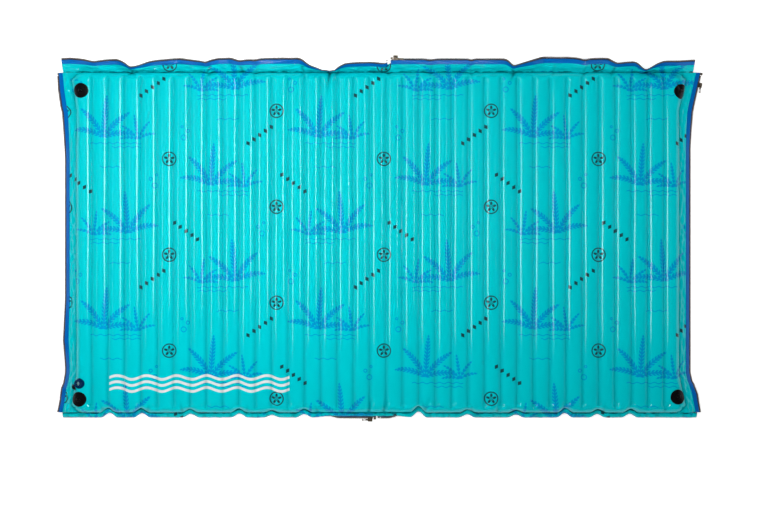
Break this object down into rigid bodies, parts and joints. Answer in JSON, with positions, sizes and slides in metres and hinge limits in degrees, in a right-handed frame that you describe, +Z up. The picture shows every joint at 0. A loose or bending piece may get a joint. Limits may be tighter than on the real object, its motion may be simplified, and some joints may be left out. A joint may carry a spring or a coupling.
{
  "type": "pool float mat",
  "caption": "Ribbed inflatable pool mat with a half zip, slider and pull round its skirt, corner tie loops, and a capped inflation valve.",
  "frame": {"origin": "underside of the mat, in the middle of the middle tube's flat", "axes": "+X along the long side, towards the end away from the valve; +Y across the mat, along the tubes, towards the long side whose skirt stands up; +Z up, out of the upper film"},
  "size_m": [2.7471, 1.5481, 0.1041],
  "materials": {
    "film": "gloss film, printed",
    "clear_film": "plain film",
    "band": "gloss",
    "tape": "woven",
    "chain": "moulded",
    "metal": "satin",
    "patch": "gloss",
    "valve": "gloss"
  },
  "bodies": {
    "mat": {"upper_film": "film", "lower_film": "film", "web_sheet": "clear_film", "skirt_top": "film", "skirt_bottom": "film", "skirt_left": "film", "skirt_right": "film", "edge_band_left": "band", "edge_band_right": "band", "edge_band_top_left": "band", "edge_band_top_right": "band", "edge_band_bottom_left": "band", "edge_band_bottom_right": "band", "zip_tape_left": "tape", "zip_tape_right": "tape", "zip_tape_top_left": "tape", "zip_tape_top_right": "tape", "zip_tape_bottom_left": "tape", "zip_tape_bottom_right": "tape", "zip_chain_left": "chain", "zip_chain_right": "chain", "zip_chain_top_left": "chain", "zip_chain_top_right": "chain", "zip_chain_bottom_left": "chain", "zip_chain_bottom_right": "chain", "zip_box_top": "metal", "zip_box_right": "metal", "zip_box_bottom": "metal", "zip_pin_top": "metal", "zip_pin_left": "metal", "zip_pin_bottom": "metal", "tie_patch_top_left": "patch", "tie_patch_top_right": "patch", "tie_patch_bottom_left": "patch", "tie_patch_bottom_right": "patch", "tie_loop_top_left": "patch", "tie_loop_top_right": "patch", "tie_loop_bottom_left": "patch", "tie_loop_bottom_right": "patch", "valve_flange": "valve", "valve_neck": "valve", "valve_strap": "valve"},
    "slider_top": {"zip_slider_top": "metal"},
    "pull_top": {"zip_pull_top": "metal"},
    "slider_right": {"zip_slider_right": "metal"},
    "pull_right": {"zip_pull_right": "metal"},
    "slider_bottom": {"zip_slider_bottom": "metal"},
    "pull_bottom": {"zip_pull_bottom": "metal"},
    "cap": {"valve_cap": "patch"},
    "flap": {"valve_flap": "clear_film"}
  },
  "joints": [
    {"name": "slide_top", "type": "slide", "parent": "mat", "child": "slider_top", "axis": [1, 0, 0], "range_m": [0, 0.42]},
    {"name": "swing_top", "type": "hinge", "parent": "slider_top", "child": "pull_top", "pos_m": [0.07519, 0.77401, 0.08208], "axis": [0, 0.8179, 0.5754], "range_deg": [-150, 12]},
    {"name": "slide_right", "type": "slide", "parent": "mat", "child": "slider_right", "axis": [-0.2207, -0.9753, -0.0002], "range_m": [-0.02, 0.07]},
    {"name": "swing_right", "type": "hinge", "parent": "slider_right", "child": "pull_right", "pos_m": [1.36992, 0.66851, 0.02286], "axis": [0.9282, -0.21, -0.3071], "range_deg": [-150, 12]},
    {"name": "slide_bottom", "type": "slide", "parent": "mat", "child": "slider_bottom", "axis": [-1, 0, 0], "range_m": [0, 0.11]},
    {"name": "swing_bottom", "type": "hinge", "parent": "slider_bottom", "child": "pull_bottom", "pos_m": [-0.03283, -0.75121, 0.02403], "axis": [0, -0.9903, -0.1392], "range_deg": [-150, 12]},
    {"name": "cap_hinge", "type": "hinge", "parent": "mat", "child": "cap", "pos_m": [-1.2767, -0.60336, 0.08219], "axis": [0.4878, -0.845, 0.2191], "range_deg": [-225, 0]},
    {"name": "flap_hinge", "type": "hinge", "parent": "mat", "child": "flap", "pos_m": [-1.26456, -0.59855, 0.07371], "axis": [0.4878, -0.845, 0.2191], "range_deg": [-45, 0]}
  ]
}
